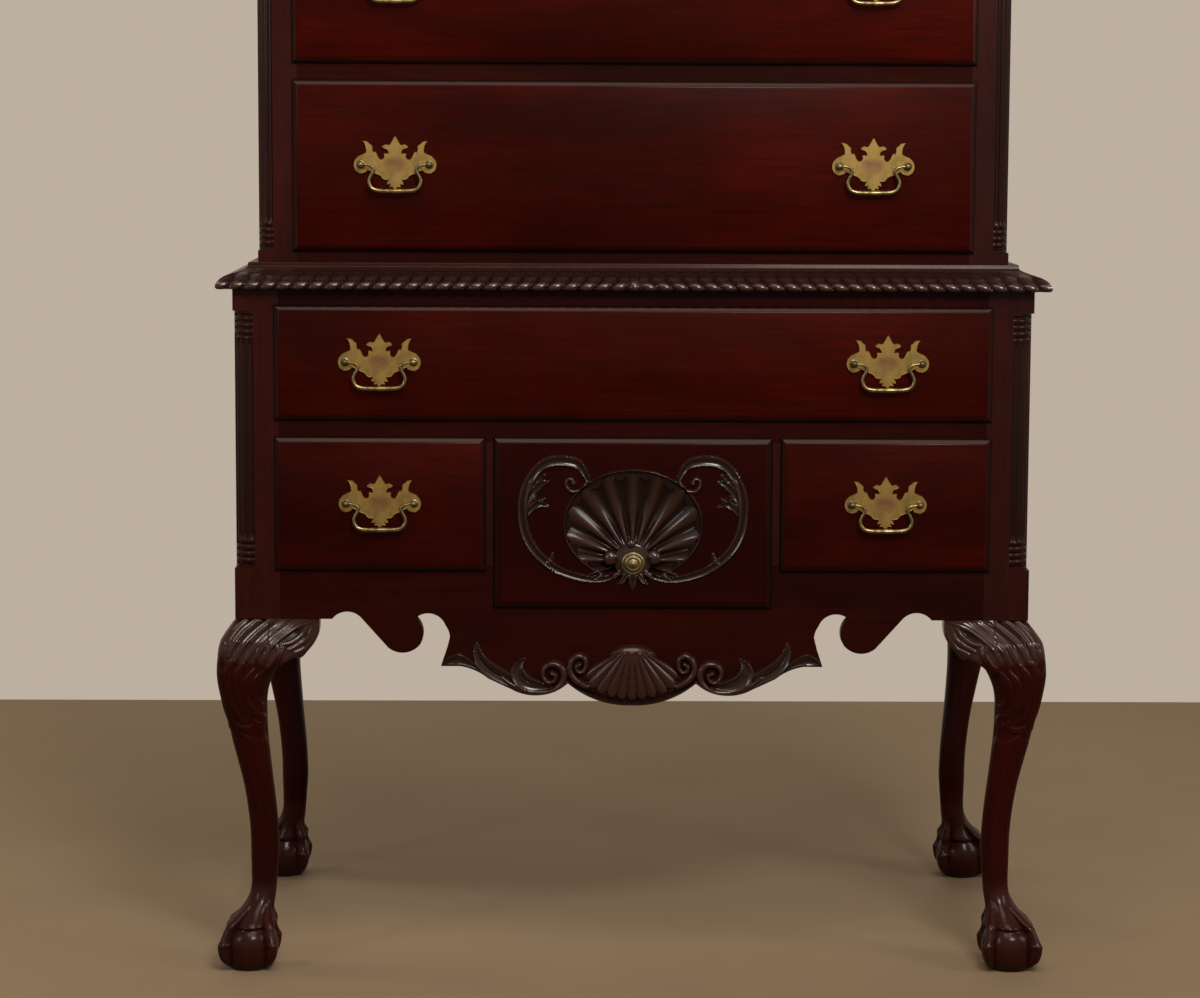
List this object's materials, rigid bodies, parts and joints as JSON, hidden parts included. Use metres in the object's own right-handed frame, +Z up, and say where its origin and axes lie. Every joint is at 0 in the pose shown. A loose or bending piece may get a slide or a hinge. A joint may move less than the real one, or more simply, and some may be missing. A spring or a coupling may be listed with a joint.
{
  "type": "highboy",
  "caption": "Mahogany highboy on cabriole legs: a chest of drawers with a bonnet top stands in the gadrooned waist moulding of a base with drawers; brass bail handles.",
  "frame": {"origin": "on the floor under the middle of the lower case", "axes": "+Z up, drawers open towards -Y, +X to the right seen from the front"},
  "size_m": [1.077, 0.6015, 2.2963],
  "materials": {
    "mahogany": "polished",
    "secondary_wood": "planed, unfinished",
    "brass": "aged, lacquered"
  },
  "bodies": {
    "case": {"leg_front_left": "mahogany", "leg_front_right": "mahogany", "leg_rear_left": "mahogany", "leg_rear_right": "mahogany", "knee_brackets": "mahogany", "apron": "mahogany", "lower_sides": "mahogany", "lower_rails": "mahogany", "lower_runners": "secondary_wood", "waist_moulding": "mahogany", "quarter_columns": "mahogany", "upper_sides": "mahogany", "upper_frame": "mahogany", "upper_runners": "secondary_wood", "back_boards": "secondary_wood", "cornice": "mahogany", "bonnet": "mahogany", "finials": "mahogany"},
    "lower_long": {"lower_long_front": "mahogany", "lower_long_box": "secondary_wood", "lower_long_brass": "brass"},
    "bail_lower_long_left": {"bail_lower_long_left": "brass"},
    "bail_lower_long_right": {"bail_lower_long_right": "brass"},
    "lower_left": {"lower_left_front": "mahogany", "lower_left_box": "secondary_wood", "lower_left_brass": "brass"},
    "bail_lower_left": {"bail_lower_left": "brass"},
    "lower_shell": {"lower_shell_front": "mahogany", "lower_shell_box": "secondary_wood", "lower_shell_brass": "brass"},
    "lower_right": {"lower_right_front": "mahogany", "lower_right_box": "secondary_wood", "lower_right_brass": "brass"},
    "bail_lower_right": {"bail_lower_right": "brass"},
    "upper_long_1": {"upper_long_1_front": "mahogany", "upper_long_1_box": "secondary_wood", "upper_long_1_brass": "brass"},
    "bail_upper_long_1_left": {"bail_upper_long_1_left": "brass"},
    "bail_upper_long_1_right": {"bail_upper_long_1_right": "brass"},
    "upper_long_2": {"upper_long_2_front": "mahogany", "upper_long_2_box": "secondary_wood", "upper_long_2_brass": "brass"},
    "bail_upper_long_2_left": {"bail_upper_long_2_left": "brass"},
    "bail_upper_long_2_right": {"bail_upper_long_2_right": "brass"},
    "upper_long_3": {"upper_long_3_front": "mahogany", "upper_long_3_box": "secondary_wood", "upper_long_3_brass": "brass"},
    "bail_upper_long_3_left": {"bail_upper_long_3_left": "brass"},
    "bail_upper_long_3_right": {"bail_upper_long_3_right": "brass"},
    "top_left": {"top_left_front": "mahogany", "top_left_box": "secondary_wood", "top_left_brass": "brass"},
    "bail_top_left": {"bail_top_left": "brass"},
    "top_shell": {"top_shell_front": "mahogany", "top_shell_box": "secondary_wood", "top_shell_brass": "brass"},
    "top_right": {"top_right_front": "mahogany", "top_right_box": "secondary_wood", "top_right_brass": "brass"},
    "bail_top_right": {"bail_top_right": "brass"}
  },
  "joints": [
    {"name": "slide_lower_long", "type": "slide", "parent": "case", "child": "lower_long", "axis": [0, -1, 0], "range_m": [0, 0.36]},
    {"name": "swing_lower_long_left", "type": "hinge", "parent": "lower_long", "child": "bail_lower_long_left", "pos_m": [-0.325, -0.2911, 0.79805], "axis": [-1, 0, 0], "range_deg": [0, 90]},
    {"name": "swing_lower_long_right", "type": "hinge", "parent": "lower_long", "child": "bail_lower_long_right", "pos_m": [0.325, -0.2911, 0.79805], "axis": [-1, 0, 0], "range_deg": [0, 90]},
    {"name": "slide_lower_left", "type": "slide", "parent": "case", "child": "lower_left", "axis": [0, -1, 0], "range_m": [0, 0.36]},
    {"name": "swing_lower_left", "type": "hinge", "parent": "lower_left", "child": "bail_lower_left", "pos_m": [-0.325, -0.2911, 0.61625], "axis": [-1, 0, 0], "range_deg": [0, 90]},
    {"name": "slide_lower_shell", "type": "slide", "parent": "case", "child": "lower_shell", "axis": [0, -1, 0], "range_m": [0, 0.36]},
    {"name": "slide_lower_right", "type": "slide", "parent": "case", "child": "lower_right", "axis": [0, -1, 0], "range_m": [0, 0.36]},
    {"name": "swing_lower_right", "type": "hinge", "parent": "lower_right", "child": "bail_lower_right", "pos_m": [0.325, -0.2911, 0.61625], "axis": [-1, 0, 0], "range_deg": [0, 90]},
    {"name": "slide_upper_long_1", "type": "slide", "parent": "case", "child": "upper_long_1", "axis": [0, -1, 0], "range_m": [0, 0.34]},
    {"name": "swing_upper_long_1_left", "type": "hinge", "parent": "upper_long_1", "child": "bail_upper_long_1_left", "pos_m": [-0.3056, -0.2606, 1.0483], "axis": [-1, 0, 0], "range_deg": [0, 90]},
    {"name": "swing_upper_long_1_right", "type": "hinge", "parent": "upper_long_1", "child": "bail_upper_long_1_right", "pos_m": [0.3056, -0.2606, 1.0483], "axis": [-1, 0, 0], "range_deg": [0, 90]},
    {"name": "slide_upper_long_2", "type": "slide", "parent": "case", "child": "upper_long_2", "axis": [0, -1, 0], "range_m": [0, 0.34]},
    {"name": "swing_upper_long_2_left", "type": "hinge", "parent": "upper_long_2", "child": "bail_upper_long_2_left", "pos_m": [-0.3056, -0.2606, 1.2879], "axis": [-1, 0, 0], "range_deg": [0, 90]},
    {"name": "swing_upper_long_2_right", "type": "hinge", "parent": "upper_long_2", "child": "bail_upper_long_2_right", "pos_m": [0.3056, -0.2606, 1.2879], "axis": [-1, 0, 0], "range_deg": [0, 90]},
    {"name": "slide_upper_long_3", "type": "slide", "parent": "case", "child": "upper_long_3", "axis": [0, -1, 0], "range_m": [0, 0.34]},
    {"name": "swing_upper_long_3_left", "type": "hinge", "parent": "upper_long_3", "child": "bail_upper_long_3_left", "pos_m": [-0.3056, -0.2606, 1.5101], "axis": [-1, 0, 0], "range_deg": [0, 90]},
    {"name": "swing_upper_long_3_right", "type": "hinge", "parent": "upper_long_3", "child": "bail_upper_long_3_right", "pos_m": [0.3056, -0.2606, 1.5101], "axis": [-1, 0, 0], "range_deg": [0, 90]},
    {"name": "slide_top_left", "type": "slide", "parent": "case", "child": "top_left", "axis": [0, -1, 0], "range_m": [0, 0.34]},
    {"name": "swing_top_left", "type": "hinge", "parent": "top_left", "child": "bail_top_left", "pos_m": [-0.28935, -0.2606, 1.6999], "axis": [-1, 0, 0], "range_deg": [0, 90]},
    {"name": "slide_top_shell", "type": "slide", "parent": "case", "child": "top_shell", "axis": [0, -1, 0], "range_m": [0, 0.34]},
    {"name": "slide_top_right", "type": "slide", "parent": "case", "child": "top_right", "axis": [0, -1, 0], "range_m": [0, 0.34]},
    {"name": "swing_top_right", "type": "hinge", "parent": "top_right", "child": "bail_top_right", "pos_m": [0.28935, -0.2606, 1.6999], "axis": [-1, 0, 0], "range_deg": [0, 90]}
  ]
}
